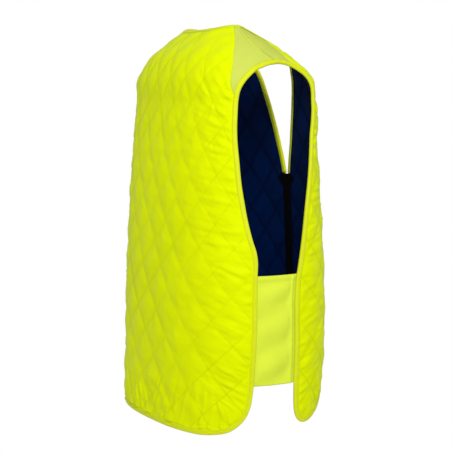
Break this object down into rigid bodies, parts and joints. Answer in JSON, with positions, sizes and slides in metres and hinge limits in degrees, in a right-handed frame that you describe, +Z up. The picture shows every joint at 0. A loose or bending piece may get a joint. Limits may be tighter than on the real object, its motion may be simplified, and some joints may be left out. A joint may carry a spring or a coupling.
{
  "type": "cooling vest",
  "caption": "Zip-front sleeveless cooling vest in quilted cloth with bound edges, knit shoulder yokes and knit side panels, in the form it has when worn.",
  "frame": {"origin": "on the centre line, level with the side points of the neck, where the wearer's shoulders carry the vest", "axes": "+Z up, the front faces -Y, the wearer's right is -X"},
  "size_m": [0.435, 0.3051, 0.6968],
  "materials": {
    "quilted_shell": "satin woven",
    "lining": "matt woven",
    "yoke_knit": "matt knit",
    "side_knit": "matt knit",
    "binding": "satin tape",
    "zip_tape": "woven tape",
    "zip_coil": "moulded",
    "slider_metal": "black enamel"
  },
  "bodies": {
    "root": {"back_panel": "quilted_shell", "back_lining": "lining", "front_panel_right": "quilted_shell", "front_lining_right": "lining", "front_panel_left": "quilted_shell", "front_lining_left": "lining", "back_yoke_right": "yoke_knit", "front_yoke_right": "yoke_knit", "back_yoke_left": "yoke_knit", "front_yoke_left": "yoke_knit", "edge_binding_right": "binding", "edge_binding_left": "binding", "neck_binding": "binding", "side_panel_right": "side_knit", "side_panel_left": "side_knit", "zip_tape_right": "zip_tape", "zip_tape_left": "zip_tape", "zip_teeth": "zip_coil", "zip_slider": "slider_metal"}
  },
  "joints": []
}
